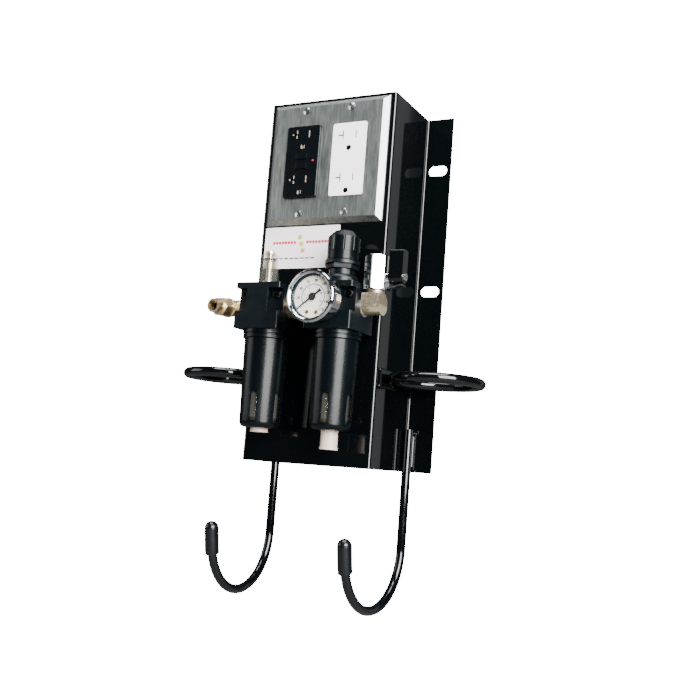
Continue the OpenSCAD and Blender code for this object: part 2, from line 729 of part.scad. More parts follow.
ball_r = 5.2;
inlet_r = 5.9;
inlet_floor = valve_z + valve_h - 12;
corner_r = valve_af / 2 + 1.2;
module valve_body() color(chrome) at_valve() difference() {
    union() {
        translate([0, 0, valve_z]) intersection() {
            rotate([0, 0, 30]) cylinder(r = valve_af / sqrt(3), h = valve_h, $fn = 6);
            union() {
                cylinder(r1 = corner_r - 1.3, r2 = corner_r, h = 1.2);
                translate([0, 0, 1.2]) cylinder(r = corner_r, h = valve_h - 2.4);
                translate([0, 0, valve_h - 1.2])
                    cylinder(r1 = corner_r, r2 = corner_r - 1.3, h = 1.2);
            }
        }
        translate([valve_af / 2 - 1.5, 0, stem_z]) rod_x(4.6, handle_x + 1.2 - valve_af / 2);
    }
    translate([0, 0, valve_z - 1]) cylinder(r = 6.7, h = 6);
    translate([0, 0, valve_z - 1]) cylinder(r = 3, h = valve_h);
    translate([0, 0, inlet_floor]) cylinder(r = inlet_r, h = 30);
    translate([0, 0, stem_z]) sphere(ball_r + 0.1, $fn = 64);
    translate([0, 0, stem_z]) rod_x(2.1, 30);
}

module valve_ball() color(chrome) at_valve() translate([0, 0, stem_z]) difference() {
    sphere(ball_r, $fn = 64);
    translate([0, 0, -10]) cylinder(r = 3, h = 20);
    translate([3.7, -1, -10]) cube([4, 2, 20]);
}

module valve_stem() color(chrome) at_valve() translate([0, 0, stem_z]) {
    intersection() {
        translate([3.8, -0.9, -2]) cube([2, 1.8, 4]);
        translate([3, 0, 0]) rod_x(2.05, 4);
    }
    translate([5.3, 0, 0]) rod_x(2.05, 7.9);
    translate([13.1, -1.4, -1.4]) cube([7, 2.8, 2.8]);
}

// bent steel tab below the lever, on the body's right-hand flat
module stop_tab() color(chrome) at_valve()
    translate([valve_af / 2 + 0.4, -4, valve_z + 0.1]) rotate([0, -13, 0]) cube([15.5, 8, 1.2]);

// lever: hub on the stem and a flat grip that points up when the valve is open
handle_x = 12.5;
module valve_handle() color(steel_black) at_valve() translate([handle_x, 0, stem_z]) {
    difference() {
        union() {
            rod_x(5.4, 12.6);
            translate([0, 0, 10.4]) rotate([90, 0, 90]) linear_extrude(12.6) round_rect(10, 25, 2);
        }
        translate([-1, 0, 0]) rod_x(2.2, 2);
        translate([0, -1.45, -1.45]) cube([7.8, 2.9, 2.9]);
        translate([7, 0, 0]) rod_x(1.55, 8);
    }
}

module handle_screw() color(chrome) at_valve() translate([handle_x, 0, stem_z]) difference() {
    union() {
        translate([7.9, 0, 0]) rod_x(1.5, 5);
        translate([12.65, 0, 0]) rod_x(3.2, 1.6);
    }
    translate([13.6, -4, -0.4]) cube([2, 8, 0.8]);
}

// ---- rings and hooks ----

// closed ring of rod with the tab that it is welded to
module tool_ring() translate([ring_x, ring_y, bottom_z + ring_z]) {
    rotate_extrude($fn = 96) translate([ring_r, 0]) circle(ring_rod / 2, $fn = 32);
    translate([half_w - ring_x + 0.05, -26, -7]) cube([3, 34, 14]);
}

module ring_right() color(steel_black) tool_ring();
module ring_left() color(steel_black) mirror([1, 0, 0]) tool_ring();

module at_hook(toe_in) translate([hook_x, hook_y, bottom_z]) rotate([0, 0, -toe_in]) children();

// the middle of the bend of a hook that reaches down by drop
module at_bend(drop) translate([0, -hook_r, hook_r + hook_rod / 2 - drop]) children();

// the end of the hook's bend, with Z along the rod
module at_bend_end(drop) at_bend(drop) rotate([-hook_sweep, 0, 0]) translate([0, hook_r, 0])
    rotate([180, 0, 0]) children();

// hook: shank up the flange, half-round bend, pad and two weld beads
module hose_hook(toe_in, drop) {
    r = hook_rod / 2;
    shank_low = hook_r + r - drop;
    at_hook(toe_in) {
        translate([0, 0, shank_low]) cylinder(r = r, h = 38 - shank_low);
        translate([0, 0, shank_low - 1]) cylinder(r = r - 0.3, h = 2);
        at_bend(drop) bent_rod(hook_r, r, 0, hook_sweep);
        at_bend_end(drop) translate([0, 0, -1]) cylinder(r = r - 0.3, h = 1 + cap_straight);
    }
    translate([0, 0, bottom_z]) {
        translate([half_w + 1.7, -sheet - hook_pad, 2]) cube([19, hook_pad - 0.05, 33]);
        for (s = [-1, 1]) translate([hook_x + s * 3.2, -sheet - hook_pad - 0.6, 5])
            cylinder(r = 1.6, h = 27);
    }
}

module hook_right() color(steel_black) hose_hook(right_toe_in, right_drop);
module hook_left() color(steel_black) mirror([1, 0, 0]) hose_hook(left_toe_in, left_drop);

// soft cap: a sleeve around the end of the bend, then a straight socket with a round end
module hook_cap(toe_in, drop) at_hook(toe_in) {
    bore = hook_rod / 2 + 0.03;
    at_bend(drop) rotate([0, 90, 0]) rotate([0, 0, 90 - hook_sweep])
        rotate_extrude(angle = cap_sweep, $fn = 96) translate([hook_r, 0]) difference() {
            circle(cap_r);
            circle(bore);
        }
    at_bend_end(drop) rotate_extrude() polygon(concat(
        [[0, cap_straight + 0.05], [bore, cap_straight + 0.05], [bore, 0], [cap_r, 0]],
        [for (a = [0:15:90]) [cap_r * cos(a), cap_straight + cap_r * sin(a)]]));
}

module hook_caps() color([0.05, 0.05, 0.05]) {
    hook_cap(right_toe_in, right_drop);
    mirror([1, 0, 0]) hook_cap(left_toe_in, left_drop);
}

housing();
end_plates();
device_box();
wall_plate();
plate_screws();
gfci_body();
gfci_test_button();
gfci_reset_button();
gfci_indicator();
duplex_body();
device_straps();
device_screws();
label();
mounting_screws();
mounting_spacers();
regulator_body();
regulator_bonnet();
bonnet_nut();
regulator_knob();
adjusting_screw();
regulating_spring();
diaphragm();
poppet_valve();
gauge_stem();
gauge_case();
gauge_bezel();
gauge_dial();
gauge_needle();
gauge_lens();
dial_screws();
bourdon_tube();
filter_bowl_guard();
filter_bowl();
filter_element();
filter_baffle();
filter_drain();
lubricator_body();
sight_dome();
drip_tube();
oil_feed_screw();
fill_plug();
lubricator_bowl_guard();
lubricator_bowl();
siphon_tube();
lubricator_drain();
joining_nipple();
outlet_elbow();
inlet_nipple();
inlet_elbow();
valve_body();
valve_ball();
valve_stem();
stop_tab();
valve_handle();
handle_screw();
ring_left();
ring_right();
hook_left();
hook_right();
hook_caps();
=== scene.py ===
"""Wall-mounted air and power station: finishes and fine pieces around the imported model, with its stage."""

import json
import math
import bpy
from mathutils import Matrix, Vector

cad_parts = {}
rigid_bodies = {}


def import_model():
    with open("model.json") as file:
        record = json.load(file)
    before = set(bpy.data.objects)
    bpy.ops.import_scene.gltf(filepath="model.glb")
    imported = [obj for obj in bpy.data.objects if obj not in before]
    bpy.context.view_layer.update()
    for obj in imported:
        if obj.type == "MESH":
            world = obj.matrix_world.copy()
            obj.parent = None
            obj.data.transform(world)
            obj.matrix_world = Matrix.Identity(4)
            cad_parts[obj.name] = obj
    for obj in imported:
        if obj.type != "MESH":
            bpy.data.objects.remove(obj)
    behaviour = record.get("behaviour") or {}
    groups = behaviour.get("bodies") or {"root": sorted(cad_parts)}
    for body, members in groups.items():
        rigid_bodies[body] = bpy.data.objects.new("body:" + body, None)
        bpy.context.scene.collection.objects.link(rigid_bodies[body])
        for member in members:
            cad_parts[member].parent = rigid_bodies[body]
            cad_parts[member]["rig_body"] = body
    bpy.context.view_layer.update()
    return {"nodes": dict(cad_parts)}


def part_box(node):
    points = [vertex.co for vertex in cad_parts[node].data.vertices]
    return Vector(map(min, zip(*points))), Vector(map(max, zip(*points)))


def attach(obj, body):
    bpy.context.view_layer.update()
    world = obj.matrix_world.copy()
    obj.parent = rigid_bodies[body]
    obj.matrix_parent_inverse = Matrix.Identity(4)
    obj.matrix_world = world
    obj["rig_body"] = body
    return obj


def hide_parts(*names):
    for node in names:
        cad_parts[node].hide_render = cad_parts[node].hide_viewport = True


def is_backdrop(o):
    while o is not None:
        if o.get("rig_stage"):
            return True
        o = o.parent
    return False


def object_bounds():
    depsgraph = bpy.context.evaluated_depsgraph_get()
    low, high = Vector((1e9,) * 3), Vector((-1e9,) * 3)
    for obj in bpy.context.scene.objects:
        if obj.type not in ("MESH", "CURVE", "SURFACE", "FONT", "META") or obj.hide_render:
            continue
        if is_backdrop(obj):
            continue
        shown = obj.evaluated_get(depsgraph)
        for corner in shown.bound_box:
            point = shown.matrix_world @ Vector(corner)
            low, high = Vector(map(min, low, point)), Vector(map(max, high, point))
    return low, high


bl_info = {
    "name": "Air and power station",
    "version": (1, 0, 0),
    "blender": (4, 5, 0),
    "location": "3D View > Sidebar > Station",
    "description": "Builds the looks of a wall-mounted air and power station, piece by piece",
    "category": "Add Mesh",
}

import bpy
from bpy.props import FloatProperty, FloatVectorProperty, IntProperty, PointerProperty
from mathutils import Matrix, Vector

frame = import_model()
NODES = frame["nodes"]
MM = 0.001


# ---- sizes and colours a user would change ----


class StationSizes(bpy.types.PropertyGroup):
    """Sizes of the fine detail"""

    sheet_edge: FloatProperty(
        name="Sheet edge", description="Rounding of the folded sheet's edges",
        default=0.35 * MM, unit="LENGTH")
    plate_edge: FloatProperty(
        name="Plate edge", description="Rounding of the wall plate's pressed edges",
        default=0.8 * MM, unit="LENGTH")
    casting_edge: FloatProperty(
        name="Casting edge", description="Rounding of the cast bodies' edges",
        default=0.7 * MM, unit="LENGTH")
    moulding_edge: FloatProperty(
        name="Moulding edge", description="Rounding of moulded plastic edges",
        default=0.4 * MM, unit="LENGTH")
    fitting_edge: FloatProperty(
        name="Fitting edge", description="Rounding of turned and forged fittings",
        default=0.3 * MM, unit="LENGTH")
    print_height: FloatProperty(
        name="Print height", description="Thickness of printed marks", default=0.06 * MM, unit="LENGTH")
    dial_full_scale: IntProperty(
        name="Dial full scale", description="Highest number on the pressure gauge",
        default=160, min=60, max=300)
    numeral_height: FloatProperty(
        name="Numeral height", description="Height of the dial's outer numerals",
        default=3.2 * MM, unit="LENGTH")


class StationColours(bpy.types.PropertyGroup):
    """Colours of the main finishes"""

    coat: FloatVectorProperty(
        name="Powder coat", description="Housing, rings and hooks", subtype="COLOR", size=3, min=0, max=1,
        default=(0.0008, 0.0014, 0.0018))
    casting: FloatVectorProperty(
        name="Castings", description="Air units' bodies", subtype="COLOR", size=3, min=0, max=1,
        default=(0.0010, 0.0026, 0.0038))
    plate: FloatVectorProperty(
        name="Wall plate", description="Brushed stainless steel", subtype="COLOR", size=3, min=0, max=1,
        default=(0.345, 0.375, 0.36))
    brass: FloatVectorProperty(
        name="Brass", description="Fittings", subtype="COLOR", size=3, min=0, max=1,
        default=(0.93, 0.73, 0.47))
    cream: FloatVectorProperty(
        name="Drains", description="Nylon drain cocks", subtype="COLOR", size=3, min=0, max=1,
        default=(0.56, 0.46, 0.37))
    device: FloatVectorProperty(
        name="Light device", description="The light receptacle", subtype="COLOR", size=3, min=0, max=1,
        default=(0.94, 0.94, 0.93))


def sizes():
    return bpy.context.scene.station_sizes


def colours():
    return bpy.context.scene.station_colours


# ---- node trees ----


def add_node(tree, kind, values=None, **settings):
    node = tree.nodes.new(kind)
    for key, value in settings.items():
        setattr(node, key, value)
    for key, value in (values or {}).items():
        node.inputs[key].default_value = value
    return node


def new_group(name, inputs, outputs):
    tree = bpy.data.node_groups.new(name, "ShaderNodeTree")
    for label, value in inputs.items():
        tree.interface.new_socket(label, in_out="INPUT", socket_type="NodeSocketFloat").default_value = value
    for label in outputs:
        tree.interface.new_socket(label, in_out="OUTPUT", socket_type="NodeSocketFloat")
    return tree, tree.nodes.new("NodeGroupInput"), tree.nodes.new("NodeGroupOutput")


def surface_grain():
    """Fine grain for a bump, and broad patches for the tone and gloss."""
    if "surface_grain" in bpy.data.node_groups:
        return bpy.data.node_groups["surface_grain"]
    tree, entry, leave = new_group(
        "surface_grain", {"Grain Scale": 1500.0, "Patch Scale": 60.0}, ("Grain", "Patches"))
    place = add_node(tree, "ShaderNodeTexCoord")
    for label, scale, detail in (("Grain", "Grain Scale", 3.0), ("Patches", "Patch Scale", 5.0)):
        noise = add_node(tree, "ShaderNodeTexNoise", {"Detail": detail, "Roughness": 0.6})
        tree.links.new(place.outputs["Object"], noise.inputs["Vector"])
        tree.links.new(entry.outputs[scale], noise.inputs["Scale"])
        tree.links.new(noise.outputs["Fac"], leave.inputs[label])
    return tree


def brushed_lines():
    """Long fine lines, drawn out along one direction by the stretch values."""
    if "brushed_lines" in bpy.data.node_groups:
        return bpy.data.node_groups["brushed_lines"]
    tree, entry, leave = new_group(
        "brushed_lines", {"Across X": 2600.0, "Across Y": 2600.0, "Across Z": 30.0}, ("Lines", "Bands"))
    place = add_node(tree, "ShaderNodeTexCoord")
    stretch = add_node(tree, "ShaderNodeCombineXYZ")
    for axis in "XYZ":
        tree.links.new(entry.outputs["Across " + axis], stretch.inputs[axis])
    drawn = add_node(tree, "ShaderNodeVectorMath", operation="MULTIPLY")
    tree.links.new(place.outputs["Object"], drawn.inputs[0])
    tree.links.new(stretch.outputs[0], drawn.inputs[1])
    for label, scale in (("Lines", 1.0), ("Bands", 0.3)):
        noise = add_node(tree, "ShaderNodeTexNoise", {"Scale": scale, "Detail": 4.0, "Roughness": 0.7})
        tree.links.new(drawn.outputs[0], noise.inputs["Vector"])
        tree.links.new(noise.outputs["Fac"], leave.inputs[label])
    return tree


def rub_marks():
    """A sparse mask of short rubbed streaks."""
    if "rub_marks" in bpy.data.node_groups:
        return bpy.data.node_groups["rub_marks"]
    tree, entry, leave = new_group("rub_marks", {"Scale": 90.0, "Amount": 0.5}, ("Mask",))
    place = add_node(tree, "ShaderNodeTexCoord")
    noise = add_node(tree, "ShaderNodeTexNoise", {"Detail": 8.0, "Roughness": 0.75, "Distortion": 0.6})
    tree.links.new(place.outputs["Object"], noise.inputs["Vector"])
    tree.links.new(entry.outputs["Scale"], noise.inputs["Scale"])
    cut = add_node(tree, "ShaderNodeMapRange", {"From Min": 0.6, "From Max": 0.75})
    tree.links.new(noise.outputs["Fac"], cut.inputs["Value"])
    amount = add_node(tree, "ShaderNodeMath", operation="MULTIPLY")
    tree.links.new(cut.outputs[0], amount.inputs[0])
    tree.links.new(entry.outputs["Amount"], amount.inputs[1])
    tree.links.new(amount.outputs[0], leave.inputs["Mask"])
    return tree


def place_group(tree, group, values):
    return add_node(tree, "ShaderNodeGroup", values, node_tree=group)


def new_material(name, shader_values):
    material = bpy.data.materials.new(name)
    material.use_nodes = True
    tree = material.node_tree
    shader = tree.nodes["Principled BSDF"]
    for key, value in shader_values.items():
        shader.inputs[key].default_value = value
    return material, tree, shader


def two_tone(tree, factor, dark, light):
    mix = add_node(tree, "ShaderNodeMix", data_type="RGBA")
    mix.inputs[6].default_value = (*dark, 1.0)
    mix.inputs[7].default_value = (*light, 1.0)
    tree.links.new(factor, mix.inputs[0])
    return mix.outputs[2]


def spread(tree, value, low, high, start=0.3, end=0.7):
    node = add_node(tree, "ShaderNodeMapRange",
                    {"From Min": start, "From Max": end, "To Min": low, "To Max": high})
    tree.links.new(value, node.inputs["Value"])
    return node.outputs[0]


def bumped(tree, shader, height, strength, depth):
    bump = add_node(tree, "ShaderNodeBump", {"Strength": strength, "Distance": depth})
    tree.links.new(height, bump.inputs["Height"])
    tree.links.new(bump.outputs["Normal"], shader.inputs["Normal"])


def shade(colour, by):
    return tuple(min(1.0, max(0.0, c * by)) for c in colour)


def finish(name, colour, rough, grain=1500.0, patches=60.0, strength=0.15, depth=0.05 * MM, tint=0.12,
           gloss=0.05, **shader_values):
    """A finish with fine grain, and with tone and gloss that drift over the surface."""
    if name in bpy.data.materials:
        return bpy.data.materials[name]
    values = {key.replace("_", " ").title().replace("Ior", "IOR"): v for key, v in shader_values.items()}
    material, tree, shader = new_material(name, values)
    surface = place_group(tree, surface_grain(), {"Grain Scale": grain, "Patch Scale": patches})
    tone = two_tone(tree, surface.outputs["Patches"], shade(colour, 1 - tint), shade(colour, 1 + tint))
    tree.links.new(tone, shader.inputs["Base Color"])
    tree.links.new(spread(tree, surface.outputs["Patches"], rough - gloss, rough + gloss),
                   shader.inputs["Roughness"])
    bumped(tree, shader, surface.outputs["Grain"], strength, depth)
    return material


# ---- finishes ----
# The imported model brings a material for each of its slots, so no finish has a slot's name.


def powder_coat():
    return finish("gloss_coat", colours().coat, 0.06, grain=90.0, patches=25.0, strength=0.004,
                  depth=0.02 * MM, gloss=0.01)


def rod_coat():
    return finish("rod_coat", colours().coat, 0.09, grain=160.0, patches=40.0, strength=0.01,
                  depth=0.02 * MM, gloss=0.02)


def cast_black():
    return finish("cast_black", colours().casting, 0.34, grain=2200.0, patches=90.0, strength=0.12,
                  depth=0.03 * MM, gloss=0.04, specular_ior_level=0.25)


def moulded_black():
    return finish("moulded_gloss", (0.0008, 0.0018, 0.0026), 0.27, grain=2600.0, patches=70.0, strength=0.03,
                  depth=0.02 * MM, gloss=0.02, specular_ior_level=0.2)


def device_black():
    return finish("device_black", (0.0015, 0.0022, 0.003), 0.2, grain=1200.0, patches=120.0, strength=0.015,
                  depth=0.02 * MM, gloss=0.02, specular_ior_level=0.35)


def device_white():
    return finish("device_white", colours().device, 0.3, grain=3000.0, patches=120.0, strength=0.08,
                  depth=0.03 * MM, gloss=0.04, tint=0.02, subsurface_weight=0.06, subsurface_scale=0.002)


def vinyl():
    return finish("vinyl", (0.0012, 0.002, 0.003), 0.24, grain=900.0, patches=80.0, strength=0.12,
                  depth=0.06 * MM, gloss=0.06)


def rubber():
    return finish("rubber", (0.02, 0.02, 0.02), 0.75, grain=1800.0, strength=0.3)


def cream_nylon():
    return finish("cream_nylon", colours().cream, 0.42, grain=1600.0, patches=110.0, strength=0.15,
                  depth=0.04 * MM, gloss=0.06, tint=0.05, subsurface_weight=0.05, subsurface_scale=0.002)


def sintered_element():
    return finish("sintered_element", (0.86, 0.85, 0.8), 0.85, grain=1400.0, patches=300.0, strength=0.9,
                  depth=0.25 * MM, tint=0.08)


def clear_plastic():
    return finish("clear_acrylic", (0.09, 0.09, 0.075), 0.07, grain=500.0, patches=60.0, strength=0.05,
                  depth=0.03 * MM, gloss=0.03, tint=0.02, alpha=0.24)


def gauge_glass():
    return finish("lens_glass", (0.02, 0.02, 0.02), 0.04, grain=400.0, strength=0.01,
                  depth=0.01 * MM, gloss=0.01, tint=0.01, alpha=0.05)


def red_lens():
    return finish("lit_lens", (0.4, 0.01, 0.03), 0.2, grain=2500.0, strength=0.1, transmission_weight=0.2,
                  emission_color=(1.0, 0.03, 0.06, 1.0), emission_strength=0.15)


def chrome_plate():
    return finish("chrome_plate", (0.86, 0.87, 0.88), 0.07, grain=160.0, patches=50.0, strength=0.04,
                  depth=0.05 * MM, gloss=0.03, tint=0.03, metallic=1.0)


def bright_zinc():
    return finish("bright_zinc", (0.7, 0.71, 0.72), 0.22, grain=1200.0, patches=200.0, strength=0.12,
                  depth=0.03 * MM, gloss=0.08, tint=0.06, metallic=1.0)


def spring_steel():
    return finish("spring_steel", (0.4, 0.41, 0.43), 0.32, grain=1500.0, metallic=1.0)


def needle_paint():
    return finish("needle_paint", (0.012, 0.012, 0.012), 0.45, grain=2600.0, strength=0.1)


def thread_tape():
    return finish("tape", (0.85, 0.85, 0.83), 0.6, grain=2500.0, strength=0.4)


def dark_steel():
    return finish("dark_steel", (0.06, 0.065, 0.07), 0.24, grain=1400.0, metallic=1.0)


def contact_metal():
    return finish("contact_metal", (0.4, 0.35, 0.29), 0.4, grain=2000.0, metallic=0.25)


def dark_chrome():
    return finish("dark_chrome", (0.5, 0.51, 0.53), 0.08, grain=160.0, patches=50.0, strength=0.04,
                  gloss=0.03, tint=0.03, metallic=1.0)


# Dark teal painted reflection: the colour of the ring at the inner lip of the gauge's chrome bezel.
def rim_teal():
    return finish("rim_teal", (0.004, 0.02, 0.028), 0.3)


def printed(name, colour):
    return finish(name, colour, 0.5, grain=4000.0, patches=900.0, strength=0.1, depth=0.01 * MM, tint=0.1)


def label_film():
    return finish("printed_film", (0.9, 0.81, 0.83), 0.25, grain=1800.0, patches=40.0, strength=0.05,
                  depth=0.02 * MM, gloss=0.04, tint=0.03, coat_weight=0.4, coat_roughness=0.08)


def dial_face():
    """Warm white print with fine dark specks."""
    if "dial_enamel" in bpy.data.materials:
        return bpy.data.materials["dial_enamel"]
    material, tree, shader = new_material("dial_enamel", {"Roughness": 0.5})
    surface = place_group(tree, surface_grain(), {"Grain Scale": 2200.0, "Patch Scale": 120.0})
    specks = spread(tree, surface.outputs["Grain"], 0.0, 1.0, 0.42, 0.6)
    tree.links.new(two_tone(tree, specks, (0.82, 0.75, 0.64), (0.97, 0.91, 0.82)),
                   shader.inputs["Base Color"])
    tree.links.new(spread(tree, surface.outputs["Patches"], 0.45, 0.55), shader.inputs["Roughness"])
    bumped(tree, shader, surface.outputs["Grain"], 0.1, 0.02 * MM)
    return material


def brushed_stainless():
    """Steel brushed up and down, with fine lines and faint broad bands."""
    if "brushed_stainless" in bpy.data.materials:
        return bpy.data.materials["brushed_stainless"]
    material, tree, shader = new_material("brushed_stainless", {"Metallic": 1.0})
    lines = place_group(tree, brushed_lines(), {"Across X": 2600.0, "Across Y": 2600.0, "Across Z": 200.0})
    colour = colours().plate
    streaks = spread(tree, lines.outputs["Bands"], 0.0, 1.0, 0.38, 0.62)
    tree.links.new(two_tone(tree, streaks, shade(colour, 0.8), shade(colour, 1.2)),
                   shader.inputs["Base Color"])
    tree.links.new(spread(tree, lines.outputs["Bands"], 0.34, 0.46), shader.inputs["Roughness"])
    bumped(tree, shader, lines.outputs["Lines"], 0.35, 0.03 * MM)
    return material


def turned_brass():
    """Brass with fine turning lines, slightly dulled in patches."""
    if "turned_brass" in bpy.data.materials:
        return bpy.data.materials["turned_brass"]
    material, tree, shader = new_material("turned_brass", {"Metallic": 1.0})
    surface = place_group(tree, surface_grain(), {"Grain Scale": 1800.0, "Patch Scale": 140.0})
    dull = place_group(tree, rub_marks(), {"Scale": 260.0, "Amount": 0.25})
    colour = colours().brass
    tone = two_tone(tree, surface.outputs["Patches"], shade(colour, 0.8), shade(colour, 1.15))
    mix = add_node(tree, "ShaderNodeMix", data_type="RGBA")
    mix.inputs[7].default_value = (*shade(colour, 0.5), 1.0)
    tree.links.new(tone, mix.inputs[6])
    tree.links.new(dull.outputs["Mask"], mix.inputs[0])
    tree.links.new(mix.outputs[2], shader.inputs["Base Color"])
    tree.links.new(spread(tree, surface.outputs["Patches"], 0.26, 0.4), shader.inputs["Roughness"])
    bumped(tree, shader, surface.outputs["Grain"], 0.15, 0.03 * MM)
    return material


def forged_brass():
    """The inlet elbow: a grey speckled forging above its port, polished brass round below."""
    if "forged_brass" in bpy.data.materials:
        return bpy.data.materials["forged_brass"]
    material, tree, shader = new_material("forged_brass", {"Metallic": 0.9})
    surface = place_group(tree, surface_grain(), {"Grain Scale": 1300.0, "Patch Scale": 160.0})
    place = add_node(tree, "ShaderNodeTexCoord")
    split = add_node(tree, "ShaderNodeSeparateXYZ")
    tree.links.new(place.outputs["Object"], split.inputs[0])
    barrel_radius = 8.2 * MM
    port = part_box("inlet_elbow")[0].z + barrel_radius
    upper = spread(tree, split.outputs["Z"], 0.0, 1.0, port - 0.4 * MM, port + 1.2 * MM)
    colour = colours().brass
    polished = two_tone(tree, surface.outputs["Patches"], shade(colour, 0.9), shade(colour, 1.2))
    speckled = two_tone(tree, spread(tree, surface.outputs["Grain"], 0.0, 1.0, 0.4, 0.6),
                        (0.22, 0.17, 0.11), (0.62, 0.53, 0.38))
    mix = add_node(tree, "ShaderNodeMix", data_type="RGBA")
    tree.links.new(polished, mix.inputs[6])
    tree.links.new(speckled, mix.inputs[7])
    tree.links.new(upper, mix.inputs[0])
    tree.links.new(mix.outputs[2], shader.inputs["Base Color"])
    tree.links.new(spread(tree, upper, 0.14, 0.42, 0.0, 1.0), shader.inputs["Roughness"])
    bumped(tree, shader, surface.outputs["Grain"], 0.4, 0.06 * MM)
    return material


def zinc_spangle():
    """Galvanised sheet with crystal patches."""
    if "zinc_spangle" in bpy.data.materials:
        return bpy.data.materials["zinc_spangle"]
    material, tree, shader = new_material("zinc_spangle", {"Metallic": 1.0})
    place = add_node(tree, "ShaderNodeTexCoord")
    crystal = add_node(tree, "ShaderNodeTexVoronoi", {"Scale": 180.0, "Randomness": 1.0})
    tree.links.new(place.outputs["Object"], crystal.inputs["Vector"])
    grey = add_node(tree, "ShaderNodeRGBToBW")
    tree.links.new(crystal.outputs["Color"], grey.inputs[0])
    tree.links.new(two_tone(tree, grey.outputs[0], (0.42, 0.43, 0.44), (0.62, 0.63, 0.65)),
                   shader.inputs["Base Color"])
    tree.links.new(spread(tree, grey.outputs[0], 0.28, 0.5, 0.0, 1.0), shader.inputs["Roughness"])
    bumped(tree, shader, crystal.outputs["Distance"], 0.1, 0.05 * MM)
    return material


# ---- placing, softening and finishing pieces ----


def only(*objects):
    bpy.ops.object.select_all(action="DESELECT")
    for obj in objects:
        obj.select_set(True)
    bpy.context.view_layer.objects.active = objects[0]


def settle(obj, name):
    """Names a new piece and puts its place into its mesh."""
    only(obj)
    bpy.ops.object.transform_apply(location=True, rotation=True, scale=True)
    obj.name = name
    obj.data.name = name
    return obj


def dress(obj, material, body):
    obj.data.materials.clear()
    obj.data.materials.append(material)
    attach(obj, body)
    return obj


def paint(material, *names):
    """Gives CAD nodes a finish."""
    for name in names:
        for held in NODES[name].material_slots:
            held.material = material


def soften(name, material, edge, angle=35.0, segments=2):
    """A copy of a CAD node with its doubles merged and its edges rounded, shown in its place."""
    node = NODES[name]
    only(node)
    bpy.ops.object.duplicate()
    obj = bpy.context.view_layer.objects.active
    obj.parent = None
    for key in [k for k in obj.keys() if k.startswith("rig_")]:
        del obj[key]
    obj.name = "soft_" + name
    obj.data.name = obj.name
    bpy.ops.object.mode_set(mode="EDIT")
    bpy.ops.mesh.select_all(action="SELECT")
    bpy.ops.mesh.customdata_custom_splitnormals_clear()
    bpy.ops.mesh.remove_doubles(threshold=0.002 * MM)
    bpy.ops.mesh.dissolve_limited(angle_limit=math.radians(0.4))
    bpy.ops.object.mode_set(mode="OBJECT")
    bevel = obj.modifiers.new("edges", "BEVEL")
    bevel.width = edge
    bevel.segments = segments
    bevel.limit_method = "ANGLE"
    bevel.angle_limit = math.radians(angle)
    bevel.use_clamp_overlap = True
    bpy.ops.object.modifier_apply(modifier="edges")
    bpy.ops.object.shade_smooth_by_angle(angle=math.radians(angle))
    even = obj.modifiers.new("even", "WEIGHTED_NORMAL")
    even.keep_sharp = True
    bpy.ops.object.modifier_apply(modifier="even")
    dress(obj, material, node["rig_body"])
    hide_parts(name)
    return obj


def centre(name):
    low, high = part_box(name)
    return (low + high) / 2


def join(objects, name):
    only(*objects)
    bpy.ops.object.join()
    return settle(objects[0], name)


def bar(width, height, depth, place, turn=(0.0, 0.0, 0.0)):
    """A thin bar: the start of printed marks."""
    bpy.ops.object.select_all(action="DESELECT")
    bpy.ops.mesh.primitive_cube_add(size=1.0, location=place, rotation=turn)
    obj = bpy.context.active_object
    obj.scale = (width, depth, height)
    return obj


def ring(radius, thick, place, axis):
    """One turn of a thread or a wrap, around an axis."""
    turn = {"X": (0.0, math.radians(90), 0.0), "Y": (math.radians(90), 0.0, 0.0), "Z": (0.0, 0.0, 0.0)}[axis]
    bpy.ops.object.select_all(action="DESELECT")
    bpy.ops.mesh.primitive_torus_add(
        major_radius=radius, minor_radius=thick, major_segments=48, minor_segments=8,
        location=place, rotation=turn)
    bpy.ops.object.shade_smooth()
    return bpy.context.active_object


def weld(runs, name, radius=1.5 * MM, step=1.7 * MM):
    """Lumpy weld beads along straight runs, melted into one skin."""
    lumps = []
    for start, end in runs:
        start, end = Vector(start), Vector(end)
        count = max(2, int((end - start).length / step))
        for i in range(count + 1):
            size = radius * (0.85 + 0.25 * ((i * 7) % 5) / 4)
            bpy.ops.object.select_all(action="DESELECT")
            bpy.ops.mesh.primitive_ico_sphere_add(
                subdivisions=2, radius=size, location=start.lerp(end, i / count))
            lumps.append(bpy.context.active_object)
    obj = join(lumps, name)
    obj.data.remesh_voxel_size = 0.45 * MM
    bpy.ops.object.voxel_remesh()
    relax = obj.modifiers.new("relax", "SMOOTH")
    relax.iterations = 2
    bpy.ops.object.modifier_apply(modifier="relax")
    bpy.ops.object.shade_smooth()
    return obj


# ---- the groups of pieces ----


class StationOperator:
    bl_options = {"REGISTER"}


class STATION_OT_housing(StationOperator, bpy.types.Operator):
    """Folded housing and its end plates"""

    bl_idname = "station.housing"
    bl_label = "Housing"

    def execute(self, context):
        soften("housing", powder_coat(), sizes().sheet_edge)
        paint(powder_coat(), "end_plates")
        paint(zinc_spangle(), "device_box", "mounting_spacers")
        return {"FINISHED"}


